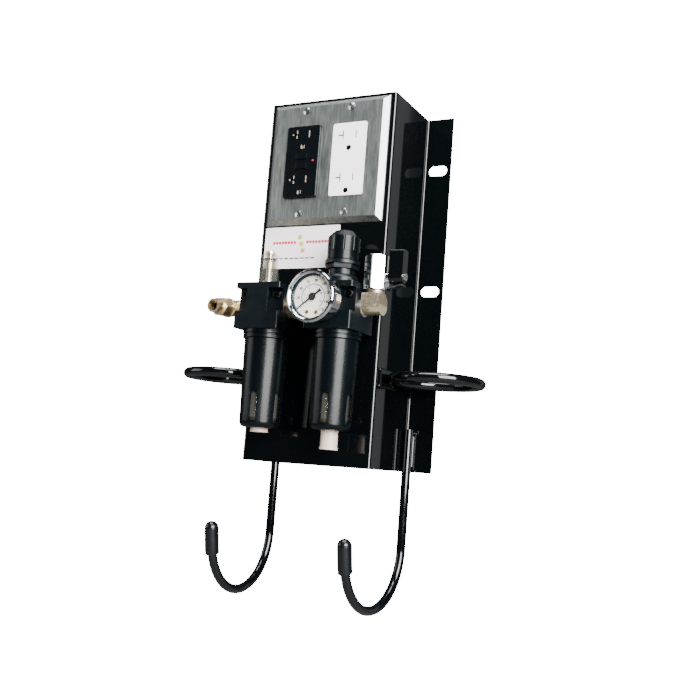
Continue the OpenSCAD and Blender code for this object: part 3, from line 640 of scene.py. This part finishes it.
class STATION_OT_receptacles(StationOperator, bpy.types.Operator):
    """Wall plate, the two receptacles and their screws"""

    bl_idname = "station.receptacles"
    bl_label = "Receptacles"

    # heights of the blade slots' middles, and each bar's place, width and height, all in mm
    gfci_blades = (26.2, -16.3)
    gfci_bars = ((5.6, 0.0, 0.5, 6.4), (-7.1, 2.3, 0.5, 3.4), (-7.1, -2.4, 0.5, 3.0), (-11.4, 0.0, 0.5, 1.9),
                 (-1.8, -11.9, 0.5, 4.0), (1.2, -11.9, 0.5, 3.4))
    duplex_blades = (22.3, -16.7)
    duplex_bars = ((6.35, 0.0, 1.2, 6.9), (-6.35, 0.0, 1.2, 8.1), (-9.3, 0.0, 4.2, 1.2),
                   (0.0, -12.2, 4.2, 4.0))
    bar_depth = 2.0

    def fronts(self, node, blades, bars, inset):
        """Bars that stand inside a receptacle's slots, their middles inset from its face."""
        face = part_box(node)[0].y
        middle = centre(node)
        return [bar(wide * MM, tall * MM, self.bar_depth * MM,
                    (middle.x + x * MM, face + inset * MM, middle.z + (height + z) * MM))
                for height in blades for x, z, wide, tall in bars]

    def execute(self, context):
        soften("wall_plate", brushed_stainless(), sizes().plate_edge, angle=12.0, segments=3)
        soften("gfci_body", device_black(), sizes().moulding_edge)
        soften("duplex_body", device_white(), sizes().moulding_edge)
        for name in ("gfci_test_button", "gfci_reset_button"):
            soften(name, device_black(), sizes().moulding_edge)
        contacts = self.fronts("gfci_body", self.gfci_blades, self.gfci_bars, 1.6)
        dress(join(contacts, "gfci_contacts"), contact_metal(), NODES["gfci_body"]["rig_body"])
        shutters = self.fronts("duplex_body", self.duplex_blades, self.duplex_bars, 1.7)
        dress(join(shutters, "duplex_shutters"), device_black(), NODES["duplex_body"]["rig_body"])
        paint(bright_zinc(), "plate_screws", "device_straps")
        paint(turned_brass(), "device_screws")
        paint(red_lens(), "gfci_indicator")
        return {"FINISHED"}


class STATION_OT_label(StationOperator, bpy.types.Operator):
    """Label with a plain printed pattern"""

    bl_idname = "station.label"
    bl_label = "Label"

    def execute(self, context):
        paint(label_film(), "label")
        low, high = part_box("label")
        height = sizes().print_height
        front = low.y - height / 2
        width = high.x - low.x
        tall = high.z - low.z
        inks = {
            "red": printed("print_red", (0.5, 0.02, 0.04)),
            "dark": printed("print_dark", (0.05, 0.05, 0.06)),
            "ochre": printed("print_ochre", (0.42, 0.36, 0.07)),
        }
        for name, ink, marks in (
            ("label_dashes", "red", [(0.13 + 0.04 * i, 0.62, 0.034, 0.06) for i in range(8)]
             + [(0.58 + 0.04 * i, 0.62, 0.034, 0.06) for i in range(8)]),
            ("label_lines", "dark", [(0.1 + 0.07 * i, 0.24, 0.055, 0.03) for i in range(9)]
             + [(0.9, 0.2, 0.07, 0.18)]),
            ("label_chevrons", "ochre", [(0.475, 0.74, 0.05, 0.1), (0.5, 0.58, 0.05, 0.1),
                                         (0.525, 0.42, 0.05, 0.1)]),
        ):
            bars = [bar(w * width, h * tall, height, (low.x + x * width, front, low.z + z * tall))
                    for x, z, w, h in marks]
            obj = join(bars, name)
            dress(obj, inks[ink], NODES["label"]["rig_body"])
        return {"FINISHED"}


class STATION_OT_regulator(StationOperator, bpy.types.Operator):
    """Filter regulator: body, bonnet, nut and knob"""

    bl_idname = "station.regulator"
    bl_label = "Filter regulator"

    def execute(self, context):
        soften("regulator_body", cast_black(), sizes().casting_edge)
        soften("regulator_bonnet", cast_black(), sizes().moulding_edge)
        soften("bonnet_nut", cast_black(), sizes().moulding_edge)
        soften("regulator_knob", moulded_black(), sizes().moulding_edge)
        paint(bright_zinc(), "adjusting_screw")
        paint(dark_steel(), "mounting_screws")
        paint(spring_steel(), "regulating_spring")
        paint(rubber(), "diaphragm")
        paint(turned_brass(), "poppet_valve")
        return {"FINISHED"}


class STATION_OT_gauge(StationOperator, bpy.types.Operator):
    """Pressure gauge: case, bezel, printed dial and needle"""

    bl_idname = "station.gauge"
    bl_label = "Pressure gauge"

    zero_turn = 217.0
    sweep = 270.0
    tick_ends = (15.6 * MM, 17.8 * MM)
    numeral_radius = 13.4 * MM
    band_ends = (9.9 * MM, 10.7 * MM)
    inner_radius = 7.9 * MM
    inner_scale = 11
    numeral_weight = 0.035
    rim_radius = 18.0 * MM
    rim_thick = 0.8 * MM
    rim_rise = 0.9 * MM

    def on_dial(self, radius, share):
        """The place at a radius and a share of the scale, and its angle from +X."""
        angle = math.radians(self.zero_turn - share * self.sweep)
        middle = centre("gauge_dial")
        out = Vector((radius * math.cos(angle), 0.0, radius * math.sin(angle)))
        return Vector((middle.x, self.front, middle.z)) + out, angle

    def ticks(self, count, every, inner, outer, thick):
        marks = []
        for i in range(count + 1):
            start = inner if i % every == 0 else inner + (outer - inner) * 0.45
            place, angle = self.on_dial((start + outer) / 2, i / count)
            marks.append(bar(outer - start, thick, sizes().print_height, place, (0.0, -angle, 0.0)))
        return marks

    def numerals(self, values, top, radius, height):
        signs = []
        for value in values:
            place, angle = self.on_dial(radius, value / top)
            bpy.ops.object.select_all(action="DESELECT")
            bpy.ops.object.text_add(location=place, rotation=(math.radians(90), 0.0, 0.0))
            sign = bpy.context.active_object
            sign.data.body = str(value)
            sign.data.size = height
            sign.data.align_x = "CENTER"
            sign.data.align_y = "CENTER"
            sign.data.extrude = sizes().print_height / 2
            sign.data.offset = height * self.numeral_weight
            bpy.ops.object.convert(target="MESH")
            signs.append(bpy.context.active_object)
        return signs

    def band(self, inner, outer):
        """An arc over the whole scale: a disc, inset, with its middle and its open part taken out."""
        middle = centre("gauge_dial")
        bpy.ops.object.select_all(action="DESELECT")
        bpy.ops.mesh.primitive_circle_add(
            vertices=144, radius=outer, fill_type="NGON",
            location=(middle.x, self.front, middle.z), rotation=(math.radians(90), 0.0, 0.0))
        obj = bpy.context.active_object
        bpy.ops.object.mode_set(mode="EDIT")
        bpy.ops.mesh.select_all(action="SELECT")
        bpy.ops.mesh.inset(thickness=outer - inner)
        bpy.ops.object.mode_set(mode="OBJECT")
        for face in obj.data.polygons:
            turn = math.degrees(math.atan2(face.center.y, face.center.x)) % 360
            face.select = face.center.length < inner / 2 or self.zero_turn < turn < self.zero_turn + 90
        bpy.ops.object.mode_set(mode="EDIT")
        bpy.ops.mesh.delete(type="FACE")
        bpy.ops.object.mode_set(mode="OBJECT")
        wall = obj.modifiers.new("wall", "SOLIDIFY")
        wall.thickness = sizes().print_height
        bpy.ops.object.modifier_apply(modifier="wall")
        return obj

    def execute(self, context):
        self.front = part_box("gauge_dial")[0].y - sizes().print_height / 2
        body = NODES["gauge_dial"]["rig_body"]
        top = sizes().dial_full_scale
        grey = printed("print_grey", (0.015, 0.02, 0.03))
        blue = printed("print_blue", (0.04, 0.08, 0.16))
        marks = self.ticks(top // 5, 4, *self.tick_ends, 0.4 * MM)
        dress(join(marks, "dial_ticks"), grey, body)
        outer = self.numerals(range(0, top + 1, 20), top, self.numeral_radius, sizes().numeral_height)
        dress(join(outer, "dial_numerals_outer"), grey, body)
        dress(settle(self.band(*self.band_ends), "dial_band"), blue, body)
        inner = self.numerals(range(0, self.inner_scale, 2), self.inner_scale, self.inner_radius,
                              sizes().numeral_height * 0.75)
        dress(join(inner, "dial_numerals_inner"), blue, body)
        # A ring at the bezel's inner lip, whose dark teal colour is a painted reflection of the chrome
        # bezel's teal sheen.
        bpy.ops.object.select_all(action="DESELECT")
        bpy.ops.mesh.primitive_torus_add(
            major_radius=self.rim_radius, minor_radius=self.rim_thick, major_segments=96, minor_segments=12,
            location=centre("gauge_dial") - Vector((0, self.rim_rise, 0)), rotation=(math.radians(90), 0, 0))
        rim = bpy.context.active_object
        bpy.ops.object.shade_smooth()
        dress(settle(rim, "dial_rim"), rim_teal(), body)
        paint(dial_face(), "gauge_dial")
        paint(needle_paint(), "gauge_needle")
        paint(gauge_glass(), "gauge_lens")
        paint(dark_chrome(), "gauge_case", "gauge_bezel")
        paint(turned_brass(), "gauge_stem", "dial_screws", "bourdon_tube")
        return {"FINISHED"}


class STATION_OT_bowls(StationOperator, bpy.types.Operator):
    """Bowl guards, clear bowls, their contents and the drains"""

    bl_idname = "station.bowls"
    bl_label = "Bowls"

    def execute(self, context):
        for name in ("filter_bowl_guard", "lubricator_bowl_guard"):
            soften(name, moulded_black(), sizes().moulding_edge)
        paint(clear_plastic(), "filter_bowl", "lubricator_bowl", "siphon_tube")
        paint(sintered_element(), "filter_element")
        paint(moulded_black(), "filter_baffle")
        for name in ("filter_drain", "lubricator_drain"):
            soften(name, cream_nylon(), 0.25 * MM)
        return {"FINISHED"}


class STATION_OT_lubricator(StationOperator, bpy.types.Operator):
    """Lubricator: body, sight dome, drip tube, feed screw and fill plug"""

    bl_idname = "station.lubricator"
    bl_label = "Lubricator"

    def execute(self, context):
        soften("lubricator_body", cast_black(), sizes().casting_edge)
        soften("fill_plug", cast_black(), sizes().fitting_edge)
        paint(clear_plastic(), "sight_dome")
        paint(turned_brass(), "drip_tube", "oil_feed_screw")
        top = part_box("sight_dome")[1].z
        middle = centre("sight_dome")
        seal = ring(5.0 * MM, 0.6 * MM, (middle.x, middle.y, top - 4.6 * MM), "Z")
        dress(settle(seal, "dome_seal"), rubber(), NODES["sight_dome"]["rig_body"])
        return {"FINISHED"}


class STATION_OT_fittings(StationOperator, bpy.types.Operator):
    """Nipples, elbows and the thread tape"""

    bl_idname = "station.fittings"
    bl_label = "Fittings"

    # steps, in mm, of the thread's turns and of the tape's wraps
    pitch = 0.95
    wrap = 1.1

    def execute(self, context):
        edge = sizes().fitting_edge
        soften("joining_nipple", turned_brass(), edge)
        soften("outlet_elbow", turned_brass(), edge)
        soften("inlet_elbow", forged_brass(), edge * 2)
        paint(bright_zinc(), "inlet_nipple")
        body = NODES["outlet_elbow"]["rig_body"]
        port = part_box("lubricator_body")[0].x
        axis = centre("joining_nipple")
        thread = join([ring(6.3 * MM, 0.35 * MM, (port - (5.2 + self.pitch * i) * MM, axis.y, axis.z), "X")
                       for i in range(4)], "outlet_thread")
        dress(thread, turned_brass(), body)
        tape = join([ring(5.9 * MM, 0.95 * MM, (port - (1.0 + self.wrap * i) * MM, axis.y, axis.z), "X")
                     for i in range(3)], "thread_tape")
        dress(tape, thread_tape(), body)
        return {"FINISHED"}


class STATION_OT_valve(StationOperator, bpy.types.Operator):
    """Shut-off valve with its lever"""

    bl_idname = "station.valve"
    bl_label = "Shut-off valve"

    def execute(self, context):
        soften("valve_body", chrome_plate(), sizes().fitting_edge)
        soften("valve_handle", rod_coat(), sizes().moulding_edge)
        paint(chrome_plate(), "valve_ball")
        paint(bright_zinc(), "valve_stem", "stop_tab", "handle_screw")
        return {"FINISHED"}


class STATION_OT_holders(StationOperator, bpy.types.Operator):
    """Tool rings and hose hooks with their caps and welds"""

    bl_idname = "station.holders"
    bl_label = "Rings and hooks"

    # hooks' pads: distance from the middle, half width of the beads, their front and their ends
    pad_x = 68.3 * MM
    pad_sides = (5.2 * MM, 5.0 * MM)
    pad_front = (-3.2 * MM, -3.4 * MM)
    pad_ends = (34 * MM, 4 * MM)
    # rings' tabs: distance from the middle, the beads' two ends and their height above the rod
    tab_x = 64.6 * MM
    tab_ends = (-71 * MM, -38 * MM)
    tab_rise = 7 * MM

    def hook_runs(self, side, hook):
        """Beads up both sides of a hook's pad, and one across its top."""
        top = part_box(hook)[1].z
        x = side * self.pad_x
        low, high = (top - end for end in self.pad_ends)
        runs = [((x + s * self.pad_sides[0], self.pad_front[0], low),
                 (x + s * self.pad_sides[1], self.pad_front[1], high)) for s in (-1, 1)]
        across = top - 3.5 * MM
        runs.append(((x - 5 * MM, self.pad_front[1], across), (x + 5 * MM, self.pad_front[1], across)))
        return runs

    def ring_runs(self, side, holder):
        """Beads along a ring's tab, above and below its rod."""
        x = side * self.tab_x
        middle = centre(holder).z
        return [((x, self.tab_ends[0], middle + up), (x, self.tab_ends[1], middle + up))
                for up in (-self.tab_rise, self.tab_rise)]

    def bead(self, runs, node):
        dress(weld(runs, "weld_" + node), rod_coat(), NODES[node]["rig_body"])

    def execute(self, context):
        paint(rod_coat(), "ring_left", "ring_right", "hook_left", "hook_right")
        for side, name in ((-1, "left"), (1, "right")):
            self.bead(self.hook_runs(side, "hook_" + name), "hook_" + name)
            self.bead(self.ring_runs(side, "ring_" + name), "ring_" + name)
        paint(vinyl(), "hook_caps")
        return {"FINISHED"}


class STATION_OT_stage(StationOperator, bpy.types.Operator):
    """Pale floor, soft lights and the camera"""

    bl_idname = "station.stage"
    bl_label = "Stage"

    view_angle = (-27.08, -7.05, 4.40)
    eye = Vector((0.4239, -0.8329, -0.2281))
    lens = 50.96
    backdrop_white = 18.0
    floor_gap = 0.35

    def camera(self, scene):
        swing, tilt, roll = (math.radians(a) for a in self.view_angle)
        turn = (Matrix.Rotation(roll, 3, "Y") @ Matrix.Rotation(tilt, 3, "X")
                @ Matrix.Rotation(swing, 3, "Z"))
        pose = Matrix((turn[0], turn[2], -turn[1])).transposed().to_4x4()
        pose.translation = self.eye
        data = bpy.data.cameras.new("camera")
        data.lens = self.lens
        obj = bpy.data.objects.new("camera", data)
        scene.collection.objects.link(obj)
        obj.matrix_world = pose
        scene.camera = obj

    def lamp(self, name, place, target, width, height, power):
        data = bpy.data.lights.new(name, "AREA")
        data.shape = "RECTANGLE"
        data.size = width
        data.size_y = height
        data.energy = power
        obj = bpy.data.objects.new(name, data)
        bpy.context.scene.collection.objects.link(obj)
        obj.location = place
        obj.rotation_euler = (Vector(target) - Vector(place)).to_track_quat("-Z", "Y").to_euler()

    def camera_only_white(self, tree, plain, strength):
        """Mixes a plain surface with white light that only the camera sees directly."""
        path = add_node(tree, "ShaderNodeLightPath")
        glow = add_node(tree, "ShaderNodeEmission", {"Color": (1, 1, 1, 1), "Strength": strength})
        mix = add_node(tree, "ShaderNodeMixShader")
        tree.links.new(path.outputs["Is Camera Ray"], mix.inputs[0])
        tree.links.new(plain, mix.inputs[1])
        tree.links.new(glow.outputs[0], mix.inputs[2])
        return mix.outputs[0]

    def execute(self, context):
        scene = context.scene
        self.camera(scene)
        world = bpy.data.worlds.new("studio")
        scene.world = world
        world.use_nodes = True
        tree = world.node_tree
        soft = tree.nodes["Background"]
        soft.inputs["Color"].default_value = (0.8, 0.95, 1.0, 1.0)
        soft.inputs["Strength"].default_value = 0.07
        white = add_node(tree, "ShaderNodeBackground",
                         {"Color": (1, 1, 1, 1), "Strength": self.backdrop_white})
        path = add_node(tree, "ShaderNodeLightPath")
        mix = add_node(tree, "ShaderNodeMixShader")
        tree.links.new(path.outputs["Is Camera Ray"], mix.inputs[0])
        tree.links.new(soft.outputs[0], mix.inputs[1])
        tree.links.new(white.outputs[0], mix.inputs[2])
        tree.links.new(mix.outputs[0], tree.nodes["World Output"].inputs["Surface"])

        bpy.ops.object.select_all(action="DESELECT")
        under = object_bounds()[0][2] - self.floor_gap
        bpy.ops.mesh.primitive_plane_add(size=12.0, location=(0.0, 0.0, under))
        floor = settle(bpy.context.active_object, "floor")
        pale, tree, shader = new_material(
            "pale_floor", {"Base Color": (0.18, 0.18, 0.18, 1), "Roughness": 0.9})
        tree.links.new(self.camera_only_white(tree, shader.outputs[0], self.backdrop_white),
                       tree.nodes["Material Output"].inputs["Surface"])
        floor.data.materials.append(pale)
        floor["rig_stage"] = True

        aim = (0.0, -0.08, -0.05)
        self.lamp("key_softbox", (1.23, -1.09, 0.36), aim, 1.1, 1.3, 140.0)
        self.lamp("top_softbox", (0.1, -0.5, 1.5), aim, 1.4, 0.9, 55.0)
        self.lamp("side_card", (0.783, 1.2, 0.2), (0.783, 0.0, 0.2), 0.3, 1.4, 0.45)
        self.lamp("left_fill", (-1.5, -0.9, 0.3), aim, 1.0, 1.0, 9.0)
        return {"FINISHED"}


class STATION_PT_panel(bpy.types.Panel):
    """The station's sizes, colours and groups of pieces"""

    bl_idname = "STATION_PT_panel"
    bl_label = "Air and power station"
    bl_space_type = "VIEW_3D"
    bl_region_type = "UI"
    bl_category = "Station"

    def draw(self, context):
        for group in (context.scene.station_sizes, context.scene.station_colours):
            column = self.layout.column(align=True)
            for name in group.__annotations__:
                column.prop(group, name)
        for operator in OPERATORS:
            self.layout.operator(operator.bl_idname)


OPERATORS = (
    STATION_OT_stage,
    STATION_OT_housing,
    STATION_OT_receptacles,
    STATION_OT_label,
    STATION_OT_regulator,
    STATION_OT_gauge,
    STATION_OT_bowls,
    STATION_OT_lubricator,
    STATION_OT_fittings,
    STATION_OT_valve,
    STATION_OT_holders,
)
CLASSES = (StationSizes, StationColours, *OPERATORS, STATION_PT_panel)


def register():
    for cls in CLASSES:
        bpy.utils.register_class(cls)
    bpy.types.Scene.station_sizes = PointerProperty(type=StationSizes)
    bpy.types.Scene.station_colours = PointerProperty(type=StationColours)


def unregister():
    del bpy.types.Scene.station_colours
    del bpy.types.Scene.station_sizes
    for cls in reversed(CLASSES):
        bpy.utils.unregister_class(cls)


def main():
    register()
    for operator in OPERATORS:
        group, name = operator.bl_idname.split(".")
        getattr(getattr(bpy.ops, group), name)()


if __name__ == "__main__":
    main()
